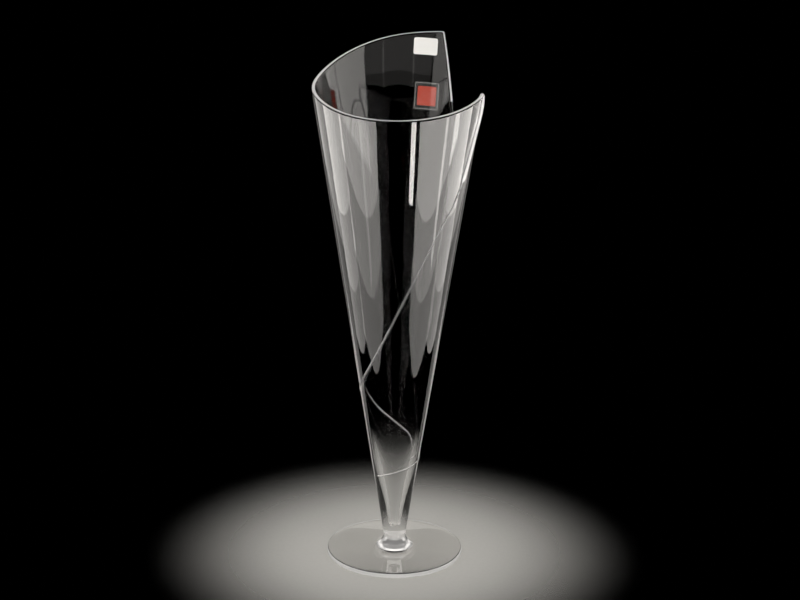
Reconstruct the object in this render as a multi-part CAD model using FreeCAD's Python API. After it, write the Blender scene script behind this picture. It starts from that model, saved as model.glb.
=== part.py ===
import FreeCAD, Part
import math
import os
from FreeCAD import Vector

os.makedirs("parts", exist_ok=True)

# A tall clear glass vase on a round foot, shaped like a rolled paper cone. Millimetres, +Z up,
# origin on the floor at the centre of the foot. The viewer stands at -Y. An angle round the
# vase starts at +X and turns clockwise seen from above, so 90 degrees is the front.

# Foot: a plate that rises slightly towards its middle
foot_radius = 57.0
foot_edge_height = 4.2
foot_edge_round = 1.4
foot_seat_height = 5.4

# Collar: the hot bit of glass that joins the foot and the bowl
collar_base_radius = 15.6
collar_base_lip = 0.4
collar_flare_height = 9.1
collar_neck_height = 2.5

# Bowl, outside: one straight cone from the neck to the highest point of the rim
neck_radius = 9.4
peak_height = 432.4
peak_radius = 73.8

# Bowl, inside: a thin straight wall above, a heavy solid end below
rim_wall = 3.2
shoulder_height = 118.0
shoulder_wall = 4.4
shoulder_reach = 30.0
waist_height = 60.0
waist_radius = 5.0
cavity_bottom_height = 24.2
cavity_end_radius = 3.4

# Rim: low in front, climbing round the left side to the peak; between the peak and the free
# upright edge under the tip lies a deep notch. A drop is measured down from the peak.
front_drop = 45.2
tip_drop = 35.9
tip_angle = 5.0
peak_angle = 300.6
notch_drop = 81.9
notch_angle = 325.5
free_edge_height = 14.0
rim_bevel = 0.9
peak_corner_round = 2.0
tip_corner_round = 1.6
free_edge_foot_round = 3.0
rim_angles = (21.0, 50.0, 93.0, 132.0, 165.0, 201.0, 233.0, 266.0)
rim_height_shares = (0.172, 0.071, 0.0, 0.066, 0.21, 0.37, 0.635, 0.882)
peak_flank_angles = (305.9, 311.4, 315.9, 320.0)
peak_flank_shares = (0.725, 0.44, 0.226, 0.083)
tip_flank_angles = (331.0, 337.3, 343.5, 350.0, 357.0)
tip_flank_shares = (0.18, 0.47, 0.775, 0.965, 1.01)

# Thread: a trail of glass laid on the outside, from the tip down round the cone until it fades
thread_radius = 2.4
thread_start_stand = 0.45
thread_end_stand = 0.15
thread_start_angle = 6.4
thread_end_height = 71.5
thread_angles = (8.0, 12.6, 17.3, 20.5, 23.5, 27.3, 33.0, 41.5, 49.5, 62.0, 75.2, 92.4, 116.0,
                 145.0, 176.0, 205.0, 232.0, 259.0, 284.0, 309.0, 336.0, 364.0, 392.0, 420.0,
                 450.0, 480.0, 507.0)
thread_height_shares = (0.957, 0.929, 0.894, 0.861, 0.828, 0.795, 0.76, 0.715, 0.681, 0.611,
                        0.54, 0.451, 0.354, 0.279, 0.231, 0.192, 0.153, 0.123, 0.101, 0.085,
                        0.063, 0.045, 0.038, 0.03, 0.021, 0.01, 0.0)

# Labels: a paper sticker inside the back wall, a clear film label with a plain print outside it
sticker_width = 20.5
sticker_height = 13.5
sticker_thickness = 0.15
sticker_corner = 1.6
sticker_lift = 0.3
sticker_angle = 289.0
sticker_drop = 12.9
film_width = 21.5
film_height = 22.0
film_thickness = 0.12
film_corner = 1.2
film_angle = 291.3
film_drop = 53.4
print_width = 16.5
print_height = 15.5
print_thickness = 0.08
print_corner = 1.0

# How far a cutting body reaches past what it cuts
overrun = 6.0

half_turn = 180.0
full_turn = 360.0

# How many straight runs stand for a curve in a section, which keeps the turned faces plain
round_steps = 2
flare_steps = 4
cavity_steps = 5

neck_top = foot_seat_height + collar_base_lip + collar_flare_height + collar_neck_height
front_height = peak_height - front_drop
tip_height = peak_height - tip_drop
free_edge_foot_height = tip_height - free_edge_height
notch_height = peak_height - notch_drop


def outer_radius(height):
    """Radius of the bowl's outside at a height."""
    share = (height - neck_top) / (peak_height - neck_top)
    return neck_radius + (peak_radius - neck_radius) * share


def inner_radius(height):
    """Radius of the straight part of the bowl's inside at a height."""
    top = peak_radius - rim_wall
    shoulder = outer_radius(shoulder_height) - shoulder_wall
    share = (height - shoulder_height) / (peak_height - shoulder_height)
    return shoulder + (top - shoulder) * share


def at(radius, angle, height):
    """A point given by its distance from the axis, its angle round the vase and its height."""
    turn = math.radians(angle)
    return Vector(radius * math.cos(turn), -radius * math.sin(turn), height)


def section(radius, height):
    """A point in the half plane that is turned about the axis."""
    return Vector(radius, 0, height)


def line(start, end):
    return Part.LineSegment(start, end).toShape()


def curve(points):
    smooth = Part.BSplineCurve()
    smooth.interpolate(points)
    return smooth.toShape()


def turned(edges):
    """The solid that a closed outline makes when it is turned once about the axis."""
    face = Part.Face(Part.Wire(edges))
    return face.revolve(Vector(0, 0, 0), Vector(0, 0, 1), full_turn)


def stepped(edge, steps):
    """The straight runs that stand for a curved edge, with every corner on the curve."""
    corners = edge.discretize(steps + 1)
    return [line(start, end) for start, end in zip(corners, corners[1:])]


def quarter_round(centre_radius, centre_height, radius, start_angle):
    """A quarter circle in the section, counter-clockwise from its start angle."""
    points = []
    for step_share in (0.0, 0.5, 1.0):
        turn = math.radians(start_angle + step_share * half_turn / 2)
        points.append(section(centre_radius + radius * math.cos(turn),
                              centre_height + radius * math.sin(turn)))
    return Part.Arc(*points).toShape()


def make_foot():
    straight = foot_radius - foot_edge_round
    upper = foot_edge_height - foot_edge_round
    lower_round = quarter_round(straight, foot_edge_round, foot_edge_round, -half_turn / 2)
    upper_round = quarter_round(straight, upper, foot_edge_round, 0)
    return turned([
        line(section(0, 0), section(straight, 0)),
        *stepped(lower_round, round_steps),
        line(section(foot_radius, foot_edge_round), section(foot_radius, upper)),
        *stepped(upper_round, round_steps),
        line(section(straight, foot_edge_height), section(collar_base_radius, foot_seat_height)),
        line(section(collar_base_radius, foot_seat_height), section(0, foot_seat_height)),
        line(section(0, foot_seat_height), section(0, 0)),
    ])


def make_collar():
    """The flare is an arc that leaves the neck upright and ends on the low base lip."""
    lip_top = foot_seat_height + collar_base_lip
    flare_top = lip_top + collar_flare_height
    width = collar_base_radius - neck_radius
    flare_radius = (width ** 2 + collar_flare_height ** 2) / (2 * width)
    half_sweep = math.asin(collar_flare_height / flare_radius) / 2
    middle = section(neck_radius + flare_radius * (1 - math.cos(half_sweep)),
                     flare_top - flare_radius * math.sin(half_sweep))
    flare = Part.Arc(section(collar_base_radius, lip_top), middle, section(neck_radius, flare_top))
    return turned([
        line(section(0, foot_seat_height), section(collar_base_radius, foot_seat_height)),
        line(section(collar_base_radius, foot_seat_height), section(collar_base_radius, lip_top)),
        *stepped(flare.toShape(), flare_steps),
        line(section(neck_radius, flare_top), section(neck_radius, neck_top)),
        line(section(neck_radius, neck_top), section(0, neck_top)),
        line(section(0, neck_top), section(0, foot_seat_height)),
    ])


def cavity_wall():
    """The curve of the inside where the thin wall turns into the narrow end of the cavity."""
    shoulder = section(inner_radius(shoulder_height), shoulder_height)
    along = section(inner_radius(shoulder_height - shoulder_reach), shoulder_height - shoulder_reach)
    end = section(cavity_end_radius, cavity_bottom_height + cavity_end_radius)
    bend = Part.BezierCurve()
    bend.setPoles([shoulder, along, section(waist_radius, waist_height), end])
    return bend.toShape()


def make_blank():
    """The bowl before its rim is cut: a solid of revolution, taller than the peak."""
    top = peak_height + overrun
    end_centre = cavity_bottom_height + cavity_end_radius
    return turned([
        line(section(0, neck_top), section(neck_radius, neck_top)),
        line(section(neck_radius, neck_top), section(outer_radius(top), top)),
        line(section(outer_radius(top), top), section(inner_radius(top), top)),
        line(section(inner_radius(top), top), section(inner_radius(shoulder_height), shoulder_height)),
        *stepped(cavity_wall(), cavity_steps),
        *reversed(stepped(quarter_round(0, end_centre, cavity_end_radius, -half_turn / 2), round_steps)),
        line(section(0, cavity_bottom_height), section(0, neck_top)),
    ])


def cut_above(stations):
    """The body above a line of stations round the wall, wide enough to cut the wall across."""
    near = inner_radius(notch_height) - overrun
    far = outer_radius(peak_height) + 2 * overrun
    inner_edge = curve([at(near, angle, height) for angle, height in stations])
    outer_edge = curve([at(far, angle, height) for angle, height in stations])
    surface = Part.makeRuledSurface(inner_edge, outer_edge)
    return surface.extrude(Vector(0, 0, peak_height - notch_height + 2 * overrun))


def sweeping_rim():
    """Stations from the tip round the front and the left side up to the peak."""
    rise = peak_height - front_height
    middle = [(angle, front_height + rise * share)
              for angle, share in zip(rim_angles, rim_height_shares)]
    return [(tip_angle, tip_height)] + middle + [(peak_angle, peak_height)]


def notch_rim():
    """Stations from the peak down into the notch and up again to the foot of the free edge."""
    down = [(angle, notch_height + (peak_height - notch_height) * share)
            for angle, share in zip(peak_flank_angles, peak_flank_shares)]
    up = [(angle, notch_height + (free_edge_foot_height - notch_height) * share)
          for angle, share in zip(tip_flank_angles, tip_flank_shares)]
    bottom = (notch_angle, notch_height)
    foot = (tip_angle + full_turn, free_edge_foot_height)
    return [(peak_angle, peak_height)] + down + [bottom] + up + [foot]


def crosses_wall(edge):
    """Whether an edge runs from the inside of the wall to the outside."""
    start = edge.valueAt(edge.FirstParameter)
    end = edge.valueAt(edge.LastParameter)
    step = abs(math.hypot(start.x, start.y) - math.hypot(end.x, end.y))
    return step > rim_wall / 2 and edge.Length < 2 * rim_wall


def corner_edges(shape, angle, height):
    """The edges that cross the wall at one corner of the rim."""
    found = []
    for edge in shape.Edges:
        middle = edge.valueAt((edge.FirstParameter + edge.LastParameter) / 2)
        corner = at(math.hypot(middle.x, middle.y), angle, height)
        if crosses_wall(edge) and middle.distanceToPoint(corner) < rim_wall / 2:
            found.append(edge)
    return found


def rim_lines(shape):
    """The edges that run along the rim, inside and outside."""
    above = [edge for edge in shape.Edges if edge.BoundBox.ZMin > notch_height - rim_wall]
    return [edge for edge in above if not crosses_wall(edge)]


def make_bowl():
    """The blank with its rim cut, the corners of the rim rounded and its edges bevelled."""
    blank = make_blank()
    blank.rotate(Vector(0, 0, 0), Vector(0, 0, 1), half_turn)
    bowl = blank.cut(cut_above(sweeping_rim())).cut(cut_above(notch_rim()))
    corners = (
        (peak_angle, peak_height, peak_corner_round),
        (tip_angle, tip_height, tip_corner_round),
        (tip_angle, free_edge_foot_height, free_edge_foot_round),
    )
    for angle, height, radius in corners:
        bowl = bowl.makeFillet(radius, corner_edges(bowl, angle, height))
    return bowl.makeChamfer(rim_bevel, rim_lines(bowl))


def thread_station(angle, height, travelled):
    """Centre of the trail, sunk under the wall's outside so that only its crown stands out."""
    stand = thread_start_stand + (thread_end_stand - thread_start_stand) * travelled
    return at(outer_radius(height) + stand - thread_radius, angle, height)


def thread_points():
    drop = tip_height - thread_end_height
    heights = [thread_end_height + drop * share for share in thread_height_shares]
    stations = [(thread_start_angle, tip_height)] + list(zip(thread_angles, heights))
    sweep = thread_angles[-1] - thread_start_angle
    return [thread_station(angle, height, (angle - thread_start_angle) / sweep)
            for angle, height in stations]


def arc_between(start, direction, end):
    """The arc that leaves its start in a direction and reaches its end."""
    chord = end - start
    along = Vector(chord).normalize()
    across = direction - along * direction.dot(along)
    bend = direction.getAngle(chord)
    middle = start + chord / 2 + across.normalize() * (chord.Length / 2 * math.tan(bend / 2))
    return Part.Arc(start, middle, end).toShape()


def smooth_path(points):
    """A path of arcs, two between neighbouring points, with no kink where they join."""
    path = Part.BSplineCurve()
    path.interpolate(points)
    headings = [Vector(path.tangent(path.parameter(point))[0]) for point in points]
    edges = []
    for start, end, leave, arrive in zip(points, points[1:], headings, headings[1:]):
        chord = end - start
        both = leave + arrive
        spread = 2 * (1 - leave.dot(arrive))
        reach = (math.sqrt(chord.dot(both) ** 2 + spread * chord.dot(chord)) - chord.dot(both)) / spread
        joint = (start + end + (leave - arrive) * reach) / 2
        edges.append(arc_between(start, leave, joint))
        joint_heading = (joint - start - leave * reach).normalize()
        edges.append(arc_between(joint, joint_heading, end))
    return Part.Wire(edges)


def make_core():
    """The solid cone under the bowl's outside, with no cavity."""
    top = peak_height + overrun
    return turned([
        line(section(0, neck_top), section(neck_radius, neck_top)),
        line(section(neck_radius, neck_top), section(outer_radius(top), top)),
        line(section(outer_radius(top), top), section(0, top)),
        line(section(0, top), section(0, neck_top)),
    ])


def make_thread():
    path = smooth_path(thread_points())
    start = path.Edges[0]
    heading = start.tangentAt(start.FirstParameter)
    ring = Part.Wire(Part.Circle(start.valueAt(start.FirstParameter), heading, thread_radius).toShape())
    tube = path.makePipeShell([ring], True, False)
    return tube.cut(make_core())


def rounded_bar(width, height, corner):
    """A bar along +X whose section is a rectangle with round corners, its middle on the X axis."""
    bar = Part.makeBox(peak_radius + overrun, width, height, Vector(0, -width / 2, -height / 2))
    long_edges = [edge for edge in bar.Edges if edge.Length > peak_radius]
    return bar.makeFillet(corner, long_edges)


def label(width, height, thickness, corner, angle, middle_height, face_radius):
    """A thin patch with round corners that lies on a cone of the given radius at each height."""
    low = middle_height - height
    high = middle_height + height
    skin = turned([
        line(section(face_radius(low), low), section(face_radius(low) + thickness, low)),
        line(section(face_radius(low) + thickness, low), section(face_radius(high) + thickness, high)),
        line(section(face_radius(high) + thickness, high), section(face_radius(high), high)),
        line(section(face_radius(high), high), section(face_radius(low), low)),
    ])
    bar = rounded_bar(width, height, corner)
    bar.rotate(Vector(0, 0, 0), Vector(0, 0, -1), angle)
    bar.translate(Vector(0, 0, middle_height))
    return skin.common(bar)


def make_sticker():
    return label(sticker_width, sticker_height, sticker_thickness, sticker_corner, sticker_angle,
                 peak_height - sticker_drop, lambda height: inner_radius(height) - sticker_lift - sticker_thickness)


def make_film():
    return label(film_width, film_height, film_thickness, film_corner, film_angle,
                 peak_height - film_drop, outer_radius)


def make_print():
    return label(print_width, print_height, print_thickness, print_corner, film_angle,
                 peak_height - film_drop, lambda height: outer_radius(height) + film_thickness)


pieces = {
    "foot": make_foot(),
    "stem_collar": make_collar(),
    "bowl": make_bowl(),
    "spiral_thread": make_thread(),
    "price_sticker": make_sticker(),
    "film_label": make_film(),
    "label_print": make_print(),
}
for name, shape in pieces.items():
    shape.exportStep("parts/" + name + ".step")
    print(name, shape.isValid(), len(shape.Solids), len(shape.Faces), round(shape.Volume, 1))
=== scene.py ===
"""Looks of a tall clear glass vase, shaped like a rolled paper cone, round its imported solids."""

import logging
import math
from contextlib import contextmanager
from dataclasses import dataclass, field, replace
from enum import Enum, Flag, IntEnum
from typing import Callable, Iterator, Sequence

import bmesh
import bpy
import numpy as np
from mathutils import Matrix, Quaternion, Vector

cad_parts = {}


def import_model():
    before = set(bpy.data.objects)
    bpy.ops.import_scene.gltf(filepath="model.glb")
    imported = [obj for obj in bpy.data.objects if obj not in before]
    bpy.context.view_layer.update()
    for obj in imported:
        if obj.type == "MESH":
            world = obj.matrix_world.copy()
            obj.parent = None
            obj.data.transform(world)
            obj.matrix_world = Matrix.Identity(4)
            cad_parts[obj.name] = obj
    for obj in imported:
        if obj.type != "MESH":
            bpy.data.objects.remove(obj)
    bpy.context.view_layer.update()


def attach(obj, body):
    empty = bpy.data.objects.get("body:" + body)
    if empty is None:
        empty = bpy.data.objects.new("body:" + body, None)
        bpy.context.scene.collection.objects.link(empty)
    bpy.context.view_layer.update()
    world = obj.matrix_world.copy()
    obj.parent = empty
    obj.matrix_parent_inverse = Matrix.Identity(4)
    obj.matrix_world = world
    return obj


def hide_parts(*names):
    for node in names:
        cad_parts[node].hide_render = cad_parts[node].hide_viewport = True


log = logging.getLogger("vase")

MM = 0.001
ROOT = "root"
FULL_TURN = 2 * math.pi
TURN_DEGREES = 360
MERGE_GAP = 0.002 * MM
TOUCH = 0.01 * MM

# How far to the side the walls and strips of light stand, and the depth of those far back.
WALL_X = 0.8
STRIP_X = 0.78
FAR_BACK = (0.5, 1.4)
# The point on the vase's axis that the small lights face.
ON_AXIS = (0, 0, 0.3)

Pair = tuple[float, float]
Triple = tuple[float, float, float]
Link = tuple[bpy.types.NodeSocket, str | int]


class Seen(Flag):
    """What a light shows in: reflections, straight through glass, on dull surfaces.

    Lights that stand high show in the first two. Low ones show in reflections alone, because the lower
    wall, seen from above, would let them straight through.
    """

    GLOSS = 1
    THROUGH = 2
    DULL = 4
    HIGH = GLOSS | THROUGH


class Side(Enum):
    """The side of the vase that a light stands on, as the sign of its place."""

    LEFT = -1
    RIGHT = 1


class Slot(IntEnum):
    """The material slots of the foot, the collar and the bowl."""

    BODY = 0
    JOINT = 1
    EDGE = 2


class Wall(Enum):
    """The side of the bowl's wall that a label is stuck to."""

    INSIDE = -1
    OUTSIDE = 1


# Helpers for meshes


def clamp(share: float) -> float:
    """A share kept between 0 and 1."""
    return min(1.0, max(0.0, share))


def select_none() -> None:
    """Deselects every object, so that an operator acts on what it is given."""
    if bpy.context.object and bpy.context.object.mode != "OBJECT":
        bpy.ops.object.mode_set(mode="OBJECT")
    bpy.ops.object.select_all(action="DESELECT")


def activate(piece: bpy.types.Object) -> None:
    """Makes one object the only selected and active one.

    Args:
        piece: The object.
    """
    select_none()
    piece.select_set(True)
    bpy.context.view_layer.objects.active = piece


@contextmanager
def editing(piece: bpy.types.Object) -> Iterator[None]:
    """Opens a piece for editing with all of it selected, and closes it again.

    Args:
        piece: The piece to edit.

    Yields:
        Nothing: the operators work on what is selected.
    """
    activate(piece)
    bpy.ops.object.mode_set(mode="EDIT")
    bpy.ops.mesh.select_all(action="SELECT")
    yield
    bpy.ops.object.mode_set(mode="OBJECT")


def spun(name: str, outline: Sequence[Pair], steps: int) -> bpy.types.Object:
    """Draws an outline point by point in the half plane and spins it once about +Z.

    Args:
        name: Name of the new piece.
        outline: Pairs of radius and height in metres, from one point on the axis to another.
        steps: Number of columns round the axis.

    Returns:
        The closed piece, its faces pointing outwards.
    """
    select_none()
    radius, height = outline[0]
    bpy.ops.mesh.primitive_plane_add(size=MM, location=(0, 0, 0))
    piece = bpy.context.object
    piece.name = piece.data.name = name
    with editing(piece):
        bpy.ops.mesh.merge(type="CENTER")
        bpy.ops.transform.translate(value=(radius, 0, height))
        for (r0, z0), (r1, z1) in zip(outline, outline[1:]):
            bpy.ops.mesh.extrude_region_move(TRANSFORM_OT_translate={"value": (r1 - r0, 0, z1 - z0)})
        bpy.ops.mesh.select_all(action="SELECT")
        bpy.ops.mesh.spin(steps=steps, angle=FULL_TURN, center=(0, 0, 0), axis=(0, 0, 1),
                          use_auto_merge=True)
        bpy.ops.mesh.select_all(action="SELECT")
        bpy.ops.mesh.remove_doubles(threshold=MERGE_GAP)
        bpy.ops.mesh.normals_make_consistent(inside=False)
    return piece


def soften(piece: bpy.types.Object, sharp_degrees: float) -> None:
    """Shades a piece smooth, except across edges sharper than an angle."""
    activate(piece)
    bpy.ops.object.shade_smooth_by_angle(angle=math.radians(sharp_degrees))


def dress(piece: bpy.types.Object, *coats: bpy.types.Material) -> None:
    """Gives a piece its material slots.

    Args:
        piece: The piece to dress.
        coats: Its materials, in the order of its slots.
    """
    piece.data.materials.clear()
    for coat in coats:
        piece.data.materials.append(coat)


def mark_faces(piece: bpy.types.Object, slot: int, belongs: Callable[[Vector], bool]) -> None:
    """Puts some faces of a piece in a material slot of their own.

    Args:
        piece: The piece, already dressed.
        slot: The slot's place in the piece's list.
        belongs: Tells from the middle of a face whether it belongs in the slot.
    """
    for face in piece.data.polygons:
        if belongs(face.center):
            face.material_index = slot


def arc_points(centre: Pair, radius: float, start: float, end: float, steps: int) -> list[Pair]:
    """Lays points on an arc in the half plane.

    Args:
        centre: Radius and height of the arc's centre.
        radius: The arc's own radius.
        start: Angle of the first point, in degrees.
        end: Angle of the last point.
        steps: Number of steps between them.

    Returns:
        The points, both ends among them.
    """
    points = []
    for step in range(steps + 1):
        turn = math.radians(start + (end - start) * step / steps)
        points.append((centre[0] + radius * math.cos(turn), centre[1] + radius * math.sin(turn)))
    return points


def bezier_points(poles: Sequence[Pair], steps: int) -> list[Pair]:
    """Lays points on a Bezier curve of any degree.

    Args:
        poles: The curve starts at the first, ends at the last and is drawn towards the others.
        steps: Number of steps from end to end.

    Returns:
        The points, both ends among them.
    """
    degree = len(poles) - 1
    points = []
    for step in range(steps + 1):
        t = step / steps
        weights = [math.comb(degree, k) * t ** k * (1 - t) ** (degree - k) for k in range(degree + 1)]
        points.append((sum(w * p[0] for w, p in zip(weights, poles)),
                       sum(w * p[1] for w, p in zip(weights, poles))))
    return points


def smooth_line(stations: Sequence[Sequence[float]], spacing: float) -> np.ndarray:
    """A natural cubic spline through stations, sampled evenly between each two.

    Args:
        stations: Points of any dimension.
        spacing: Wanted distance between samples, in the stations' unit.

    Returns:
        The sampled points, the stations among them.
    """
    p = np.array(stations, float)
    chords = np.linalg.norm(np.diff(p, axis=0), axis=1)
    n = len(p)
    matrix, right = np.eye(n), np.zeros_like(p)
    for k in range(1, n - 1):
        a, b = chords[k - 1], chords[k]
        matrix[k, k - 1:k + 2] = (a / 6, (a + b) / 3, b / 6)
        right[k] = (p[k + 1] - p[k]) / b - (p[k] - p[k - 1]) / a
    bend = np.linalg.solve(matrix, right)
    samples = [p[0]]
    for k, chord in enumerate(chords):
        count = max(1, round(chord / spacing))
        for step in range(1, count + 1):
            t = step / count
            s = 1 - t
            samples.append(s * p[k] + t * p[k + 1]
                           + chord ** 2 / 6 * ((s ** 3 - s) * bend[k] + (t ** 3 - t) * bend[k + 1]))
    return np.array(samples)


# The vase's shape


@dataclass(frozen=True)
class Cone:
    """The straight glass wall: radii and heights in metres, angles clockwise from +X, in degrees."""

    neck_radius: float = 9.4 * MM
    neck_top: float = 17.4 * MM
    peak_radius: float = 73.8 * MM
    peak_height: float = 432.4 * MM
    rim_wall: float = 3.2 * MM
    shoulder_height: float = 118 * MM
    shoulder_wall: float = 4.4 * MM
    shoulder_reach: float = 30 * MM
    cavity_pull: Pair = (5 * MM, 60 * MM)
    cavity_bottom: float = 24.2 * MM
    cavity_end_radius: float = 3.4 * MM

    def outer(self, height: float) -> float:
        """Radius of the outside at a height."""
        share = (height - self.neck_top) / (self.peak_height - self.neck_top)
        return self.neck_radius + (self.peak_radius - self.neck_radius) * share

    def inner(self, height: float) -> float:
        """Finds the radius of the straight part of the inside.

        Args:
            height: Height above the floor.

        Returns:
            The radius there.
        """
        shoulder = self.outer(self.shoulder_height) - self.shoulder_wall
        share = (height - self.shoulder_height) / (self.peak_height - self.shoulder_height)
        return shoulder + (self.peak_radius - self.rim_wall - shoulder) * share

    def out(self, degrees: float) -> Vector:
        """Finds the outward direction of the outside, square to the wall.

        Args:
            degrees: Angle round the vase.

        Returns:
            A direction of length 1.
        """
        turn = math.radians(degrees)
        slope = (self.peak_radius - self.neck_radius) / (self.peak_height - self.neck_top)
        return Vector((math.cos(turn), -math.sin(turn), -slope)).normalized()


def at(radius: float, degrees: float, height: float) -> Vector:
    """A point from its distance to the axis, its angle round the vase and its height."""
    turn = math.radians(degrees)
    return Vector((radius * math.cos(turn), -radius * math.sin(turn), height))


@dataclass(frozen=True)
class Rim:
    """The rim's line round the wall: low in front, high behind, with a notch and a free upright edge."""

    cone: Cone = Cone()
    front_height: float = 387.2 * MM
    tip_height: float = 396.5 * MM
    tip_angle: float = 5.0
    peak_angle: float = 300.6
    notch_height: float = 350.5 * MM
    notch_angle: float = 325.5
    free_edge_foot: float = 382.5 * MM
    sweep_angles: tuple[float, ...] = (21, 50, 93, 132, 165, 201, 233, 266)
    sweep_shares: tuple[float, ...] = (0.172, 0.071, 0.0, 0.066, 0.21, 0.37, 0.635, 0.882)
    fall_angles: tuple[float, ...] = (305.9, 311.4, 315.9, 320)
    fall_shares: tuple[float, ...] = (0.725, 0.44, 0.226, 0.083)
    climb_angles: tuple[float, ...] = (331, 337.3, 343.5, 350, 357)
    climb_shares: tuple[float, ...] = (0.18, 0.47, 0.775, 0.965, 1.01)
    peak_round: float = 2.2 * MM
    tip_round: float = 2.0 * MM
    foot_round: float = 3.0 * MM
    flat_radius: float = 68 * MM
    spacing: float = 0.25 * MM
    corner_weight: float = 2.0
    corner_reach: float = 5 * MM

    def flat(self, degrees: float, height: float) -> Pair:
        """An angle and a height as a place on the wall rolled out flat."""
        return math.radians(degrees) * self.flat_radius, height

    def climb(self, angles: Sequence[float], shares: Sequence[float], low: float,
              high: float) -> list[Pair]:
        """Works out stations of the rim between two heights.

        Args:
            angles: Where they are round the vase.
            shares: How far up each of them is.
            low: The lower height.
            high: The upper height.

        Returns:
            Their places on the wall rolled out flat.
        """
        return [self.flat(angle, low + (high - low) * share) for angle, share in zip(angles, shares)]

    def sweep(self) -> np.ndarray:
        """Draws the rim from the tip round the front and the left side to the peak.

        Returns:
            Its points on the wall rolled out flat.
        """
        peak = self.cone.peak_height
        stations = [self.flat(self.tip_angle, self.tip_height),
                    *self.climb(self.sweep_angles, self.sweep_shares, self.front_height, peak),
                    self.flat(self.peak_angle, peak)]
        return smooth_line(stations, self.spacing)

    def notch(self) -> np.ndarray:
        """Draws the rim from the peak through the notch to the foot of the free edge.

        Returns:
            Its points on the wall rolled out flat.
        """
        peak, notch, foot = self.cone.peak_height, self.notch_height, self.free_edge_foot
        stations = [self.flat(self.peak_angle, peak),
                    *self.climb(self.fall_angles, self.fall_shares, notch, peak),
                    self.flat(self.notch_angle, notch),
                    *self.climb(self.climb_angles, self.climb_shares, notch, foot),
                    self.flat(self.tip_angle + TURN_DEGREES, foot)]
        return smooth_line(stations, self.spacing)

    def free_edge(self) -> np.ndarray:
        """Draws the upright edge from its foot to the tip.

        Returns:
            Its points on the wall rolled out flat.
        """
        count = round((self.tip_height - self.free_edge_foot) / self.spacing)
        heights = np.linspace(self.free_edge_foot, self.tip_height, count + 1)
        angle = self.tip_angle + TURN_DEGREES
        return np.array([self.flat(angle, height) for height in heights])

    def rounded(self, before: np.ndarray, after: np.ndarray, radius: float) -> tuple[np.ndarray, ...]:
        """Cuts a corner between two lines and lays a round in it.

        Args:
            before: The line that ends at the corner.
            after: The line that starts there.
            radius: Radius of the round.

        Returns:
            What is left of the first line, the round, and what is left of the second.
        """
        look = round(radius / self.spacing)
        arrive = before[-1] - before[-1 - look]
        leave = after[look] - after[0]
        cosine = float(arrive @ leave / np.linalg.norm(arrive) / np.linalg.norm(leave))
        trim = max(2, round(radius * math.tan(math.acos(cosine) / 2) / self.spacing))
        start, end = before[-1 - trim], after[trim]
        bend = bezier_points([tuple(start), tuple(after[0]), tuple(end)], 2 * trim)
        return before[:-1 - trim], np.array(bend), after[trim + 1:]

    def loop(self) -> tuple[np.ndarray, np.ndarray]:
        """The whole rim once round, rolled out, and how near each point is to a corner.

        Returns:
            The points, from just past the tip round to just before it, and weights for sampling.
        """
        sweep, peak, notch = self.rounded(self.sweep(), self.notch(), self.peak_round)
        notch, foot, edge = self.rounded(notch, self.free_edge(), self.foot_round)
        turn = np.array([FULL_TURN * self.flat_radius, 0])
        edge, tip, sweep = self.rounded(edge, sweep + turn, self.tip_round)
        line = np.vstack([sweep - turn, peak, notch, foot, edge, tip])
        corners = np.vstack([peak[len(peak) // 2], foot[len(foot) // 2], tip[len(tip) // 2],
                             tip[len(tip) // 2] - turn])
        gaps = np.linalg.norm(line[:, None] - corners[None], axis=2).min(axis=1)
        return line, 1 + self.corner_weight * np.exp(-(gaps / self.corner_reach) ** 2)

    def columns(self, count: int) -> tuple[np.ndarray, np.ndarray]:
        """Shares the rim out among columns, which lie closer at its corners.

        Args:
            count: Number of columns.

        Returns:
            For each column its angle in degrees and height on the rim, and its angle far below.
        """
        line, weight = self.loop()
        turn = np.array([[FULL_TURN * self.flat_radius, 0]])
        closed = np.vstack([line, line[:1] + turn])
        lengths = np.linalg.norm(np.diff(closed, axis=0), axis=1)
        travelled = np.concatenate([[0], np.cumsum(lengths * weight)])
        wanted = np.linspace(0, travelled[-1], count, endpoint=False)
        x = np.interp(wanted, travelled, closed[:, 0])
        z = np.interp(wanted, travelled, closed[:, 1])
        plain = np.concatenate([[0], np.cumsum(lengths)])
        share = np.interp(wanted, travelled, plain) / plain[-1]
        below = np.degrees(closed[0, 0] / self.flat_radius) + TURN_DEGREES * share
        return np.column_stack([np.degrees(x / self.flat_radius), z]), below


# Finishes


def linear(hex_colour: str) -> tuple[float, float, float, float]:
    """Turns an sRGB hex colour to the linear values that Blender's sockets take.

    Args:
        hex_colour: Six hex digits.

    Returns:
        Red, green, blue and a full alpha.
    """
    channels = [int(hex_colour[k:k + 2], 16) / 255 for k in (0, 2, 4)]
    values = [c / 12.92 if c <= 0.04045 else ((c + 0.055) / 1.055) ** 2.4 for c in channels]
    return values[0], values[1], values[2], 1.0


def add_node(tree: bpy.types.NodeTree, kind: str, settings: dict[str, object] | None = None,
             links: dict[str | int, Link] | None = None) -> bpy.types.Node:
    """Adds one node with its settings and links.

    Args:
        tree: The node tree that it joins.
        kind: Blender's name for the node's type.
        settings: Values by the name of a property or an input socket.
        links: For an input socket, the node and output socket that feed it.

    Returns:
        The node.
    """
    node = tree.nodes.new(kind)
    for name, value in (settings or {}).items():
        if isinstance(name, str) and hasattr(node, name):
            setattr(node, name, value)
        else:
            node.inputs[name].default_value = value
    for socket, (source, output) in (links or {}).items():
        tree.links.new(source.outputs[output], node.inputs[socket])
    return node


def new_material(name: str) -> tuple[bpy.types.Material, bpy.types.NodeTree]:
    """Makes an empty node material.

    Args:
        name: Its name.

    Returns:
        The material and its node tree.
    """
    material = bpy.data.materials.new(name)
    material.use_nodes = True
    material.node_tree.nodes.clear()
    return material, material.node_tree


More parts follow.
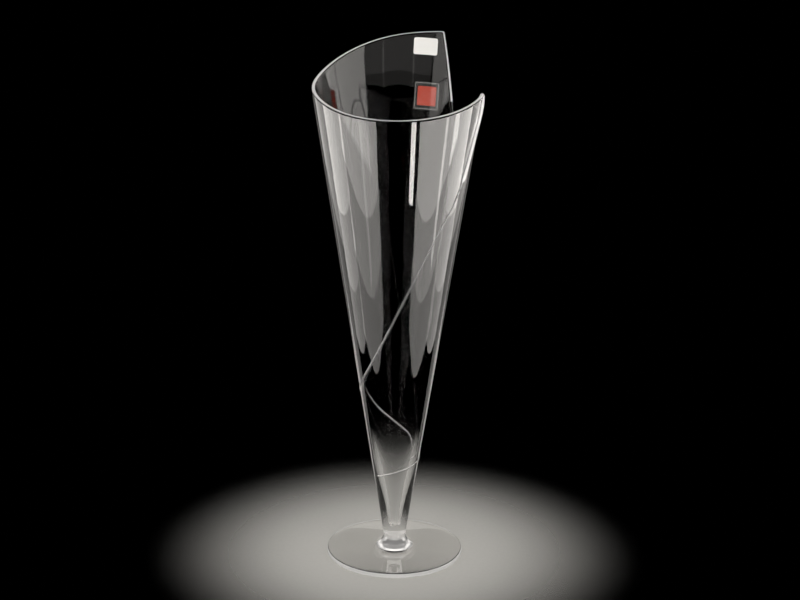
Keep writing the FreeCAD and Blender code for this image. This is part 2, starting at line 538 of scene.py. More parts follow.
def two_tones(tree: bpy.types.NodeTree, size: float, detail: float,
              tones: tuple[str, str]) -> tuple[bpy.types.Node, bpy.types.Node, bpy.types.Node]:
    """Lays a soft pattern of a darker and a lighter tone over a piece.

    Args:
        tree: The node tree that it joins.
        size: Real size of the pattern's patches, in metres.
        detail: How many finer layers it has.
        tones: The darker and the lighter colour.

    Returns:
        The nodes that give the place on the piece, the pattern and its colour.
    """
    place = add_node(tree, "ShaderNodeTexCoord")
    pattern = add_node(tree, "ShaderNodeTexNoise", {"Scale": 1 / size, "Detail": detail},
                       {"Vector": (place, "Object")})
    shade = add_node(tree, "ShaderNodeMix",
                     {"data_type": "RGBA", 6: linear(tones[0]), 7: linear(tones[1])},
                     {0: (pattern, "Fac")})
    return place, pattern, shade


@dataclass(frozen=True)
class BlownGlass:
    """Mouth-blown soda-lime glass, fire polished: clear, neutral, with faint waves left by the tools.

    Light that runs inside the wall comes out at its edges and at the trail. That glow is painted in:
    these copies have a clear share below 1, and the rest is dull white that glows softly in the light that
    falls on it.
    """

    name: str = "blown_soda_lime_glass"
    tint: str = "ffffff"
    clear_share: float = 1.0
    ior: float = 1.5
    roughness: float = 0.0
    wave_size: float = 45 * MM
    wave_detail: float = 1.0
    wave_roughness: float = 0.4
    wave_depth: float = 0.025 * MM
    lamp_share: float = 0.93

    def material(self) -> bpy.types.Material:
        """Builds the glass.

        Returns:
            The glass's material.
        """
        material, tree = new_material(self.name)
        place = add_node(tree, "ShaderNodeTexCoord")
        waves = add_node(tree, "ShaderNodeTexNoise",
                         {"Scale": 1 / self.wave_size, "Detail": self.wave_detail,
                          "Roughness": self.wave_roughness},
                         {"Vector": (place, "Object")})
        bump = add_node(tree, "ShaderNodeBump", {"Strength": 1.0, "Distance": self.wave_depth},
                        {"Height": (waves, "Fac")})
        glass = add_node(tree, "ShaderNodeBsdfPrincipled",
                         {"Base Color": linear(self.tint), "Transmission Weight": self.clear_share,
                          "IOR": self.ior, "Roughness": self.roughness},
                         {"Normal": (bump, "Normal")})
        path = add_node(tree, "ShaderNodeLightPath")
        lit = self.lamp_share
        clear = add_node(tree, "ShaderNodeBsdfTransparent", {"Color": (lit, lit, lit, 1)})
        both = add_node(tree, "ShaderNodeMixShader", None,
                        {0: (path, "Is Shadow Ray"), 1: (glass, "BSDF"), 2: (clear, "BSDF")})
        add_node(tree, "ShaderNodeOutputMaterial", links={"Surface": (both, 0)})
        return material


@dataclass(frozen=True)
class FusedJoint:
    """Where two bodies of glass were joined hot there is no surface at all, so nothing shows."""

    name: str = "fused_glass_joint"

    def material(self) -> bpy.types.Material:
        """Builds the joint.

        Returns:
            The joint's material.
        """
        material, tree = new_material(self.name)
        clear = add_node(tree, "ShaderNodeBsdfTransparent", {"Color": (1, 1, 1, 1)})
        add_node(tree, "ShaderNodeOutputMaterial", links={"Surface": (clear, "BSDF")})
        return material


@dataclass(frozen=True)
class StickerPaper:
    """Matt white self-adhesive paper: bright, dull, with the faint grain of its fibres.

    Single fibres are too fine to show, so the grain is drawn as coarse as a clump of them.
    """

    name: str = "white_sticker_paper"
    tones: tuple[str, str] = ("efeeea", "fbfaf7")
    grain: float = 0.6 * MM
    grain_detail: float = 4.0
    fibre_strength: float = 0.3
    fibre_depth: float = 0.05 * MM
    roughness: float = 0.75

    def material(self) -> bpy.types.Material:
        """Builds the paper.

        Returns:
            The paper's material.
        """
        material, tree = new_material(self.name)
        _, fibres, shade = two_tones(tree, self.grain, self.grain_detail, self.tones)
        bump = add_node(tree, "ShaderNodeBump",
                        {"Strength": self.fibre_strength, "Distance": self.fibre_depth},
                        {"Height": (fibres, "Fac")})
        paper = add_node(tree, "ShaderNodeBsdfPrincipled", {"Roughness": self.roughness},
                         {"Base Color": (shade, 2), "Normal": (bump, "Normal")})
        add_node(tree, "ShaderNodeOutputMaterial", links={"Surface": (paper, "BSDF")})
        return material


@dataclass(frozen=True)
class LabelFilm:
    """Clear polypropylene label film: see-through, slightly cloudy from its glue, with a soft gloss.

    The film's border shows as a faint frame. Its ramp is measured from the film's middle, as a share of
    the film's width or height.
    """

    name: str = "clear_label_film"
    cloud: str = "b9bab8"
    cloudiness: float = 0.035
    cloud_shares: Pair = (0.7, 1.3)
    glue_size: float = 4 * MM
    glue_detail: float = 3.0
    glue_range: Pair = (0.3, 0.7)
    border: float = 0.5
    border_ramp: Pair = (0.44, 0.48)
    uv_middle: float = 0.5
    roughness: float = 0.25
    ior: float = 1.49

    def material(self) -> bpy.types.Material:
        """Builds the film.

        Returns:
            The film's material.
        """
        material, tree = new_material(self.name)
        place = add_node(tree, "ShaderNodeTexCoord")
        glue = add_node(tree, "ShaderNodeTexNoise",
                        {"Scale": 1 / self.glue_size, "Detail": self.glue_detail},
                        {"Vector": (place, "Object")})
        thinnest, thickest = (self.cloudiness * share for share in self.cloud_shares)
        amount = add_node(tree, "ShaderNodeMapRange",
                          {"From Min": self.glue_range[0], "From Max": self.glue_range[1],
                           "To Min": thinnest, "To Max": thickest}, {"Value": (glue, "Fac")})
        flat = add_node(tree, "ShaderNodeUVMap")
        middle = add_node(tree, "ShaderNodeVectorMath",
                          {"operation": "SUBTRACT", 1: (self.uv_middle, self.uv_middle, 0)},
                          {0: (flat, "UV")})
        away = add_node(tree, "ShaderNodeVectorMath", {"operation": "ABSOLUTE"}, {0: (middle, "Vector")})
        sides = add_node(tree, "ShaderNodeSeparateXYZ", None, {"Vector": (away, "Vector")})
        outmost = add_node(tree, "ShaderNodeMath", {"operation": "MAXIMUM"},
                           {0: (sides, "X"), 1: (sides, "Y")})
        rim = add_node(tree, "ShaderNodeMapRange",
                       {"From Min": self.border_ramp[0], "From Max": self.border_ramp[1],
                        "To Max": self.border}, {"Value": (outmost, 0)})
        rim = add_node(tree, "ShaderNodeMath", {"operation": "MULTIPLY"}, {0: (rim, 0), 1: (glue, "Fac")})
        amount = add_node(tree, "ShaderNodeMath", {"operation": "ADD"}, {0: (amount, 0), 1: (rim, 0)})
        film = add_node(tree, "ShaderNodeBsdfPrincipled",
                        {"Base Color": linear(self.cloud), "Roughness": self.roughness, "IOR": self.ior},
                        {"Alpha": (amount, 0)})
        add_node(tree, "ShaderNodeOutputMaterial", links={"Surface": (film, "BSDF")})
        return material


@dataclass(frozen=True)
class LabelPrint:
    """A plain field of red screen ink on the film: even, a little lighter where the film shows through."""

    name: str = "red_label_ink"
    tones: tuple[str, str] = ("b02b13", "cc4522")
    mottle: float = 2.5 * MM
    mottle_detail: float = 2.0
    roughness: float = 0.4

    def material(self) -> bpy.types.Material:
        """Builds the print.

        Returns:
            The print's material.
        """
        material, tree = new_material(self.name)
        _, _, shade = two_tones(tree, self.mottle, self.mottle_detail, self.tones)
        ink = add_node(tree, "ShaderNodeBsdfPrincipled", {"Roughness": self.roughness},
                       {"Base Color": (shade, 2)})
        add_node(tree, "ShaderNodeOutputMaterial", links={"Surface": (ink, "BSDF")})
        return material


@dataclass(frozen=True)
class PalePaint:
    """Matt pale paint of the floor: a trace of roller texture, no gloss, fading out away from the vase as a
    painted pool of light.
    """

    name: str = "pale_matt_floor"
    tones: tuple[str, str] = ("b4b3af", "bbbab6")
    texture: float = 3 * MM
    texture_detail: float = 3.0
    roughness: float = 0.9
    shine: float = 0.2
    painted_falloff_from: float = 50 * MM
    painted_falloff_to: float = 215 * MM

    def material(self) -> bpy.types.Material:
        """Builds the paint.

        Returns:
            The paint's material.
        """
        material, tree = new_material(self.name)
        place, _, shade = two_tones(tree, self.texture, self.texture_detail, self.tones)
        paint = add_node(tree, "ShaderNodeBsdfPrincipled",
                         {"Roughness": self.roughness, "Specular IOR Level": self.shine},
                         {"Base Color": (shade, 2)})
        # The floor fades into the dark surroundings away from the vase: a painted pool of light.
        reach = add_node(tree, "ShaderNodeVectorMath", {"operation": "LENGTH"}, {0: (place, "Object")})
        fade = add_node(tree, "ShaderNodeMapRange",
                        {"interpolation_type": "SMOOTHERSTEP", "From Min": self.painted_falloff_from,
                         "From Max": self.painted_falloff_to}, {"Value": (reach, "Value")})
        gone = add_node(tree, "ShaderNodeBsdfTransparent")
        both = add_node(tree, "ShaderNodeMixShader", None, {0: (fade, 0), 1: (paint, 0), 2: (gone, 0)})
        add_node(tree, "ShaderNodeOutputMaterial", links={"Surface": (both, 0)})
        return material


# Sub-assemblies


@dataclass
class Bowl:
    """The conical bowl: a spun wall whose upper rows follow the rim's line.

    The top of the rim's round is dressed in the glass with a painted glow, as a bright edge, except low down
    in the notch.
    """

    glass: bpy.types.Material
    joint: bpy.types.Material
    edge: bpy.types.Material
    cone: Cone = field(default_factory=Cone)
    rim: Rim = field(default_factory=Rim)
    columns: int = 960
    rim_depth: float = 1.45 * MM
    rim_steps: int = 12
    bright_share: float = 0.72
    dull_below: float = 378 * MM
    bend_height: float = 290 * MM
    bend_rows: int = 16
    last_row_share: float = 0.004
    wall_rows: int = 9
    cavity_steps: int = 22
    end_steps: int = 6
    sharp_degrees: float = 60

    def outline(self) -> list[Pair]:
        """Draws the section before the rim is bent.

        Returns:
            Its points: the axis, up the outside, a half round at the top, and down the inside.
        """
        cone, top = self.cone, self.rim.front_height
        lower = np.linspace(cone.neck_top, self.bend_height, self.wall_rows + 1)
        upper = self.bend_height + (top - self.bend_height) * self.climb_shares()[1:]
        outside = [(cone.outer(z), z) for z in [*lower, *upper]]
        middle = (cone.outer(top) + cone.inner(top)) / 2
        half = (cone.outer(top) - cone.inner(top)) / 2
        crown = arc_points((middle, top), half, 0, 180, self.rim_steps)[1:-1]
        inside = [(cone.inner(z), z) for z in [*upper[::-1], self.bend_height]]
        straight = np.linspace(self.bend_height, cone.shoulder_height, self.wall_rows)[1:-1]
        inside += [(cone.inner(z), z) for z in straight]
        along = cone.shoulder_height - cone.shoulder_reach
        end_height = cone.cavity_bottom + cone.cavity_end_radius
        poles = [(cone.inner(cone.shoulder_height), cone.shoulder_height), (cone.inner(along), along),
                 cone.cavity_pull, (cone.cavity_end_radius, end_height)]
        cavity = bezier_points(poles, self.cavity_steps)
        end = arc_points((0, end_height), cone.cavity_end_radius, 0, -90, self.end_steps)[1:]
        return [(0, cone.neck_top), *outside, *crown, *inside, *cavity, *end]

    def climb_shares(self) -> np.ndarray:
        """How far up each bent row lies; the last is close to the rim, so that the wall stays straight."""
        return np.append(np.linspace(0, 1 - self.last_row_share, self.bend_rows), 1)

    def bend_to_rim(self, piece: bpy.types.Object, outline: Sequence[Pair]) -> None:
        """Moves the rows above the bend so that they follow the rim's line.

        Args:
            piece: The spun wall.
            outline: The section that it was spun from.
        """
        rim, below = self.rim.columns(self.columns)
        # The row and the column of the spun grid that each vertex belongs to.
        place = np.zeros(len(piece.data.vertices) * 3)
        piece.data.vertices.foreach_get("co", place)
        place = place.reshape(-1, 3)
        radius = np.hypot(place[:, 0], place[:, 1])
        section = np.array(outline)
        gap = (radius[:, None] - section[None, :, 0]) ** 2 + (place[:, 2, None] - section[None, :, 1]) ** 2
        row = gap.argmin(axis=1)
        turn = np.degrees(np.arctan2(-place[:, 1], place[:, 0])) % TURN_DEGREES
        column = np.rint(turn / TURN_DEGREES * self.columns).astype(int) % self.columns
        # How far up each row has climbed, and how far over the crown. Row 0 is the point on the axis.
        first = 1 + self.wall_rows
        crown = first + self.bend_rows
        last = crown + self.rim_steps
        bent_row = np.clip(np.minimum(row - first, last + self.bend_rows - row), 0, self.bend_rows)
        climb = self.climb_shares()[bent_row]
        half_turn = math.pi * np.clip((row - crown) / self.rim_steps, 0, 1)
        depth = self.rim_depth * (1 - np.sin(half_turn))
        across = (1 - np.cos(half_turn)) / 2
        # Its new place: under the rim's line in its column, on the straight wall.
        inward = self.inward(rim)
        angle = rim[column, 0] + inward[column, 0] * depth
        angle = below[column] + (angle - below[column]) * climb
        height = self.bend_height + (rim[column, 1] + inward[column, 1] * depth - self.bend_height) * climb
        wall = self.cone.outer(height) * (1 - across) + self.cone.inner(height) * across
        bent = climb > 0
        radius = np.where(bent, wall, radius)
        height = np.where(bent, height, place[:, 2])
        turn = np.radians(angle)
        place = np.column_stack([radius * np.cos(turn), -radius * np.sin(turn), height])
        piece.data.vertices.foreach_set("co", place.ravel())
        piece.data.update()

    def inward(self, rim: np.ndarray) -> np.ndarray:
        """Finds the way from the rim's line into the glass.

        Args:
            rim: For each column its angle in degrees and its height on the rim.

        Returns:
            For each column the change in angle, in degrees, and in height per metre of depth.
        """
        angle, height = np.radians(rim[:, 0]), rim[:, 1]
        radius = self.cone.outer(height)
        points = np.column_stack([radius * np.cos(angle), -radius * np.sin(angle), height])
        along = np.roll(points, -1, axis=0) - np.roll(points, 1, axis=0)
        slope = self.cone.out(0).z / self.cone.out(0).x
        out = np.column_stack([np.cos(angle), -np.sin(angle), np.full(len(rim), slope)])
        into = np.cross(out, along)
        into /= np.linalg.norm(into, axis=1)[:, None]
        round_way = np.column_stack([-np.sin(angle), -np.cos(angle)])
        sideways = (into[:, :2] * round_way).sum(axis=1)
        return np.column_stack([np.degrees(sideways / radius), into[:, 2]])

    def build(self) -> bpy.types.Object:
        """Spins the wall, bends it to the rim and dresses it.

        Returns:
            The bowl.
        """
        outline = self.outline()
        piece = spun("bowl_glass", outline, self.columns)
        dress(piece, self.glass, self.joint, self.edge)
        mark_faces(piece, Slot.JOINT, lambda middle: abs(middle.z - self.cone.neck_top) < TOUCH)
        # The top of the rim's round takes the glass with a painted glow: a bright edge.
        half = (self.cone.outer(self.rim.front_height) - self.cone.inner(self.rim.front_height)) / 2
        bright_from = self.rim.front_height + half * self.bright_share
        mark_faces(piece, Slot.EDGE, lambda middle: middle.z > bright_from)
        self.bend_to_rim(piece, outline)
        for face in piece.data.polygons:
            if face.material_index == Slot.EDGE and face.center.z < self.dull_below:
                face.material_index = Slot.BODY
        soften(piece, self.sharp_degrees)
        return piece


@dataclass
class Stem:
    """The collar and the foot, each spun from its section."""

    glass: bpy.types.Material
    joint: bpy.types.Material
    edge: bpy.types.Material
    painted_glow_collar: bpy.types.Material
    cone: Cone = field(default_factory=Cone)
    columns: int = 256
    seat_height: float = 5.4 * MM
    base_radius: float = 15.6 * MM
    base_lip: float = 0.4 * MM
    flare_top: float = 14.9 * MM
    foot_radius: float = 57 * MM
    edge_height: float = 4.2 * MM
    edge_round: float = 1.6 * MM
    skirt_radius: float = 22 * MM
    skirt_pull: float = 18 * MM
    flare_pull: Pair = (1.6 * MM, 1.9 * MM)
    flare_steps: int = 20
    round_steps: int = 8
    top_rings: int = 8
    facet_slack: float = 0.05 * MM
    sharp_degrees: float = 40

    def lip(self) -> float:
        """Height at which the foot's top meets the collar."""
        return self.seat_height + self.base_lip

    def straight(self) -> float:
        """Radius of the foot's top inside the round of its edge."""
        return self.foot_radius - self.edge_round

    def foot_top(self, radius: float) -> float:
        """Height of the foot's gently rising top at a radius."""
        share = (self.straight() - radius) / (self.straight() - self.base_radius)
        return self.edge_height + (self.seat_height - self.edge_height) * share

    def collar(self) -> bpy.types.Object:
        """Spins the flared collar.

        Returns:
            The collar.
        """
        neck, top = self.cone.neck_radius, self.cone.neck_top
        pull = (neck + self.flare_pull[0], self.lip() + self.flare_pull[1])
        flare = bezier_points([(self.base_radius, self.lip()), pull, (neck, self.flare_top)],
                              self.flare_steps)
        outline = [(0, self.seat_height), (self.base_radius, self.seat_height), *flare, (neck, top), (0, top)]
        piece = spun("collar_glass", outline, self.columns)
        # The whole collar is in a copy of the glass with a painted glow: its white sparkle.
        dress(piece, self.painted_glow_collar, self.joint)
        mark_faces(piece, Slot.JOINT, self.fused)
        soften(piece, self.sharp_degrees)
        return piece

    def fused(self, middle: Vector) -> bool:
        """Tells whether a face lies where the collar meets the foot or the bowl.

        Args:
            middle: The face's middle.

        Returns:
            Whether glass goes on behind it.
        """
        radius = math.hypot(middle.x, middle.y)
        on_ends = min(abs(middle.z - self.seat_height), abs(middle.z - self.cone.neck_top)) < TOUCH
        on_side = abs(radius - self.base_radius) < self.facet_slack
        on_lip = self.seat_height < middle.z < self.lip() and on_side
        return on_lip or (on_ends and radius < self.base_radius)

    def foot(self) -> bpy.types.Object:
        """Spins the foot, with a soft skirt that runs up to the collar.

        Returns:
            The foot.
        """
        straight, rounding = self.straight(), self.edge_round
        lower = arc_points((straight, rounding), rounding, -90, 0, self.round_steps)
        upper = arc_points((straight, self.edge_height - rounding), rounding, 0, 90, self.round_steps)
        rings = np.linspace(straight, self.skirt_radius, self.top_rings)
        top = [(radius, self.foot_top(radius)) for radius in rings[1:]]
        skirt = bezier_points([top[-1], (self.skirt_pull, self.foot_top(self.skirt_pull)),
                               (self.base_radius, self.lip())], self.round_steps)[1:]
        outline = [(0, 0), *lower, *upper, *top, *skirt, (self.base_radius, self.seat_height),
                   (0, self.seat_height)]
        piece = spun("foot_glass", outline, self.columns)
        dress(piece, self.glass, self.joint, self.edge)
        # The round of the foot's edge takes the glass with a painted glow: a bright rim.
        bright_from = self.foot_radius - rounding / 2
        mark_faces(piece, Slot.EDGE, lambda middle: math.hypot(middle.x, middle.y) > bright_from)
        mark_faces(piece, Slot.JOINT, self.fused)
        soften(piece, self.sharp_degrees)
        return piece


@dataclass
class Thread:
    """The trail of glass laid on the outside, as a crown that stands a little proud of the wall.

    Its section shrinks and flattens all along its way, so it is laid ring by ring.
    """

    edge: bpy.types.Material
    trail: bpy.types.Material
    cone: Cone = field(default_factory=Cone)
    rim: Rim = field(default_factory=Rim)
    start_angle: float = 6.4
    start_drop: float = 1.2 * MM
    end_height: float = 71.5 * MM
    angles: tuple[float, ...] = (8, 12.6, 17.3, 20.5, 23.5, 27.3, 33, 41.5, 49.5, 62, 75.2, 92.4, 116, 145,
                                 176, 205, 232, 259, 284, 309, 336, 364, 392, 420, 450, 480, 507)
    shares: tuple[float, ...] = (0.957, 0.929, 0.894, 0.861, 0.828, 0.795, 0.76, 0.715, 0.681, 0.611, 0.54,
                                 0.451, 0.354, 0.279, 0.231, 0.192, 0.153, 0.123, 0.101, 0.085, 0.063,
                                 0.045, 0.038, 0.03, 0.021, 0.01, 0.0)
    thick_width: float = 4.0 * MM
    thick_stand: float = 1.5 * MM
    tip_stand: float = 0.45 * MM
    swell_drop: float = 9 * MM
    thin_width: float = 1.9 * MM
    thin_from: float = 330 * MM
    thinning_drop: float = 4 * MM
    end_width: float = 1.5 * MM
    stand_share: float = 0.3
    gap: float = 0.01 * MM
    spacing: float = 1.2 * MM
    crown_steps: int = 10
    seat_shares: Triple = (0.5, 0.0, -0.5)
    end_rings: int = 3
    blunt_end: float = 0.15
    thin_slot: int = 1
    thin_slot_from: float = 0.5
    sharp_degrees: float = 50

    def thinness(self, height: float) -> float:
        """0 on the broad part along the free edge, 1 on the thin trail below it, smooth between."""
        change = clamp((self.thin_from + self.thinning_drop / 2 - height) / self.thinning_drop)
        return change * change * (3 - 2 * change)

    def size(self, height: float) -> Pair:
        """Width of the trail at a height, and how far it stands out from the wall.

        Args:
            height: Height above the floor.

        Returns:
            Width and stand in metres.
        """
        fade = clamp((self.thin_from - height) / (self.thin_from - self.end_height))
        thin = self.thin_width + (self.end_width - self.thin_width) * fade
        swell = clamp((self.rim.tip_height - height) / self.swell_drop)
        stand = self.tip_stand + (self.thick_stand - self.tip_stand) * swell
        change = self.thinness(height)
        return (self.thick_width + (thin - self.thick_width) * change,
                stand + (thin * self.stand_share - stand) * change)

    def line(self) -> np.ndarray:
        """Draws the middle of the trail on the outside of the wall.

        Returns:
            Its points, from the rim's tip down to its end.
        """
        tip = self.rim.tip_height
        drop = tip - self.end_height
        stations = [(self.start_angle, tip - self.start_drop)]
        stations += [(angle, self.end_height + drop * s) for angle, s in zip(self.angles, self.shares)]
        return smooth_line([at(self.cone.outer(z), angle, z) for angle, z in stations], self.spacing)

    def ring(self, line: np.ndarray, k: int) -> list[Vector]:
        """Lays the section across the trail at one of its points.

        Args:
            line: The middle of the trail.
            k: Which of its points.

        Returns:
            The section's corners: over the crown and back along the wall.
        """
        point, last = line[k], len(line) - 1
        along = Vector(line[min(k + 1, last)] - line[max(k - 1, 0)]).normalized()
        angle = math.degrees(math.atan2(-point[1], point[0]))
        across = along.cross(self.cone.out(angle)).normalized()
        seat = at(self.cone.outer(point[2]), angle, point[2])
        near_end = min(1.0, (min(k, last - k) + self.blunt_end) / self.end_rings)
        rounding = math.sqrt(near_end * (2 - near_end))
        width, stand = self.size(point[2])
        half, stand = width / 2 * rounding, stand * rounding
        corners = []
        for step in range(self.crown_steps + 1):
            turn = math.pi * step / self.crown_steps
            corners.append(self.on_wall(seat - across * (half * math.cos(turn)), stand * math.sin(turn)))
        for share in self.seat_shares:
            corners.append(self.on_wall(seat + across * (half * share), 0.0))
        return corners

    def build(self) -> bpy.types.Object:
        """Joins the sections along the trail, closes its ends and dresses it.

        Returns:
            The trail.
        """
        line = self.line()
        mesh = bmesh.new()
        rings = [[mesh.verts.new(corner) for corner in self.ring(line, k)] for k in range(len(line))]
        for ring, following in zip(rings, rings[1:]):
            for a, b, c, d in zip(ring, ring[1:] + ring[:1], following[1:] + following[:1], following):
                mesh.faces.new((a, b, c, d))
        mesh.faces.new(rings[0])
        mesh.faces.new(rings[-1][::-1])
        bmesh.ops.recalc_face_normals(mesh, faces=mesh.faces)
        data = bpy.data.meshes.new("thread_glass")
        mesh.to_mesh(data)
        mesh.free()
        piece = bpy.data.objects.new("thread_glass", data)
        bpy.context.scene.collection.objects.link(piece)
        # The broad part takes the glass with a painted glow, the thin trail a faint painted glow.
        dress(piece, self.edge, self.trail)
        mark_faces(piece, self.thin_slot, lambda middle: self.thinness(middle.z) > self.thin_slot_from)
        soften(piece, self.sharp_degrees)
        return piece

    def on_wall(self, point: Vector, rise: float) -> Vector:
        """Brings a point back to the wall's outside, a hair off it, and lifts it.

        Args:
            point: The point.
            rise: How far it is lifted.

        Returns:
            Its new place.
        """
        angle = math.degrees(math.atan2(-point.y, point.x))
        return at(self.cone.outer(point.z), angle, point.z) + self.cone.out(angle) * (rise + self.gap)


@dataclass
class Label:
    """A thin patch with round corners that follows the curved wall."""

    name: str
    coat: bpy.types.Material
    side: Wall
    cone: Cone
    angle: float
    middle: float
    width: float
    height: float
    thickness: float
    corner: float
    lift: float
    cuts: int = 12
    corner_steps: int = 5
    sharp_degrees: float = 30

    def build(self) -> bpy.types.Object:
        """Cuts the patch flat, rounds its corners, gives it thickness and wraps it on the wall.

        Returns:
            The label.
        """
        select_none()
        bpy.ops.mesh.primitive_plane_add(size=1, location=(0, 0, 0))
        piece = bpy.context.object
        piece.name = piece.data.name = self.name
        step = self.width / self.cuts
        with editing(piece):
            bpy.ops.transform.resize(value=(self.width, self.height, 1))
            bpy.ops.mesh.bevel(offset=self.corner, segments=self.corner_steps, affect="VERTICES")
            for k in range(1, self.cuts):
                bpy.ops.mesh.select_all(action="SELECT")
                bpy.ops.mesh.bisect(plane_co=(k * step - self.width / 2, 0, 0), plane_no=(1, 0, 0))
            bpy.ops.mesh.select_all(action="SELECT")
            bpy.ops.mesh.extrude_region_move(TRANSFORM_OT_translate={"value": (0, 0, self.thickness)})
            bpy.ops.mesh.select_all(action="SELECT")
            bpy.ops.mesh.normals_make_consistent(inside=False)
        for vertex in piece.data.vertices:
            vertex.co = self.wrapped(vertex.co)
        with editing(piece):
            bpy.ops.mesh.normals_make_consistent(inside=False)
        dress(piece, self.coat)
        soften(piece, self.sharp_degrees)
        return piece

    def wrapped(self, flat: Vector) -> Vector:
        """Finds where a point of the flat patch goes on the wall.

        Args:
            flat: The point; its thickness points off the wall.

        Returns:
            Its place on the wall.
        """
        height = self.middle + flat.y
        wall = self.cone.outer(height) if self.side is Wall.OUTSIDE else self.cone.inner(height)
        radius = wall + self.side.value * (self.lift + flat.z)
        return at(radius, self.angle + math.degrees(flat.x / wall), height)


# Studio


@dataclass(frozen=True)
class Softbox:
    """One soft light: a rectangle with its middle, the point it faces and how bright its face is.

    The roll turns it in its own plane, in degrees.
    """

    name: str
    place: Triple
    target: Triple
    size: Pair
    level: float
    roll: float = 0.0
    seen: Seen = Seen.GLOSS

    def hang(self, colour: Triple) -> None:
        """Adds the light to the scene.

        Args:
            colour: Its red, green and blue.
        """
        lamp = bpy.data.lights.new(self.name, "AREA")
        lamp.shape = "RECTANGLE"
        lamp.size, lamp.size_y = self.size
        lamp.energy = math.pi * self.size[0] * self.size[1] * self.level
        lamp.color = colour
        holder = bpy.data.objects.new(self.name, lamp)
        bpy.context.scene.collection.objects.link(holder)
        place = Vector(self.place)
        facing = (Vector(self.target) - place).to_track_quat("-Z", "Y")
        holder.location = place
        holder.rotation_euler = (facing @ Quaternion((0, 0, 1), math.radians(self.roll))).to_euler()
        holder.visible_camera = False
        holder.visible_transmission = Seen.THROUGH in self.seen
        holder.visible_glossy = Seen.GLOSS in self.seen
        holder.visible_diffuse = Seen.DULL in self.seen


def upright(name: str, x: float, depth: Pair, rise: Pair, level: float,
            seen: Seen = Seen.GLOSS) -> Softbox:
    """A soft light that stands upright beside the vase like a wall and faces it.

    Args:
        name: Its name.
        x: Where it stands, left or right.
        depth: Its front and back ends.
        rise: Its lower and upper ends.
        level: How bright its face is.
        seen: What it shows in.

    Returns:
        The light.
    """
    y, z = sum(depth) / 2, sum(rise) / 2
    return Softbox(name, place=(x, y, z), target=(0, y, z), size=(depth[1] - depth[0], rise[1] - rise[0]),
                   level=level, seen=seen)


@dataclass(frozen=True)
class Strip:
    """One strip of a veil's light.

    It has its middle above the veil's, its height, the lower and upper ends of its part behind the vase,
    and its share of the veil's level.
    """

    name: str
    above: float
    height: float
    rise_behind: Pair
    share: float


@dataclass(frozen=True)
class Veil:
    """The low light of one side, which the wall mirrors as a pale veil that fades downwards.

    Each strip slants in front of the vase and goes on upright behind it.
    """

    side: Side
    front: float
    height: float
    level: float
    tilt: float = 24.0
    length: float = 1.43
    depth_behind: Pair = (-0.06, 0.5)
    strips: tuple[Strip, ...] = (
        Strip("low_1", above=0.1255, height=0.171, rise_behind=(-0.083, 0.12), share=1.12),
        Strip("low_2", above=-0.032, height=0.117, rise_behind=(-0.19, -0.083), share=0.68),
        Strip("low_3", above=-0.1575, height=0.112, rise_behind=(-0.28, -0.19), share=0.42))

    def lights(self) -> Iterator[Softbox]:
        """Works out the veil's lights.

        Yields:
            For each strip its slanting and its upright part.
        """
        x = self.side.value * WALL_X
        for strip in self.strips:
            name, level = f"{self.side.name.lower()}_{strip.name}", strip.share * self.level
            z = self.height + strip.above
            yield Softbox(name, place=(x, self.front, z), target=(0, self.front, z),
                          size=(self.length, strip.height), level=level, roll=self.side.value * self.tilt)
            yield upright(name + "_back", x, self.depth_behind, strip.rise_behind, level)


def side_lights(side: Side) -> Iterator[Softbox]:
    """Works out the lights that stand alike on both sides.

    Args:
        side: The side that they stand on.

    Yields:
        Walls far back, a panel high in front, dim panels for the vase's outline and the fill.
    """
    name, sign = side.name.lower(), side.value
    x = sign * WALL_X
    yield upright(name + "_rear_low_1", x, FAR_BACK, rise=(-0.15, 0.1), level=1.6)
    yield upright(name + "_rear_low_2", x, FAR_BACK, rise=(-0.5, -0.15), level=0.6)
    yield upright(name + "_rear_high", x, FAR_BACK, rise=(0.35, 0.95), level=1.3, seen=Seen.HIGH)
    yield Softbox(name + "_front_top", place=(x, -1.45, 0.78), target=(0, -1.45, 0.78), size=(1.5, 0.45),
                  level=0.3, roll=-5.7 * sign, seen=Seen.HIGH)
    for part, z, height, level in (("low", -0.64, 0.38, 0.95), ("high", -0.22, 0.44, 0.2)):
        yield Softbox(f"{name}_edge_{part}", place=(0.608 * sign, 1.5, z), target=(0, 0, z),
                      size=(0.75, height), level=level)
    yield Softbox(name + "_fill", place=(0.88 * sign, -0.9, 0.9), target=ON_AXIS, size=(0.8, 0.8),
                  level=3.7, seen=Seen.DULL)


def single_lights() -> Iterator[Softbox]:
    """Works out the lights that stand on one side only, or in the middle.

    Yields:
        Each light.
    """
    # High walls: the pale zones seen in the wall at the back, with a dark middle between them.
    yield upright("left_high", -WALL_X, depth=(-0.26, 0.5), rise=(0.4, 0.95), level=1.6, seen=Seen.HIGH)
    yield upright("left_front_high", -WALL_X, depth=(-0.67, -0.26), rise=(0.4, 0.95), level=0.9,
                  seen=Seen.HIGH)
    yield upright("right_high", WALL_X, depth=(-0.7, 0.5), rise=(0.35, 0.95), level=1.8, seen=Seen.HIGH)
    # Strips just before the walls: lighter lines in the veils.
    yield upright("left_strip", -STRIP_X, depth=(-0.6, -0.52), rise=(-0.35, 0.0), level=1.6)
    yield upright("right_strip", STRIP_X, depth=(-0.27, -0.21), rise=(-0.2, 0.05), level=6.0)
    # Panels over the vase: a line of light on round edges and a faint even sheen inside the wall.
    yield Softbox("rear_top", place=(0, 1.2, 1.45), target=(0, 0, 0.4), size=(1.8, 0.9), level=1.5,
                  seen=Seen.HIGH | Seen.DULL)
    yield Softbox("front_top", place=(0, -2.2, 0.83), target=(0, 0, 0.83), size=(1.8, 0.4), level=0.3,
                  seen=Seen.HIGH)
    # A small bright box: the short streak in the front of the wall.
    yield Softbox("streak", place=(0.53, -1.25, -0.432), target=ON_AXIS, size=(0.16, 0.14), level=18)


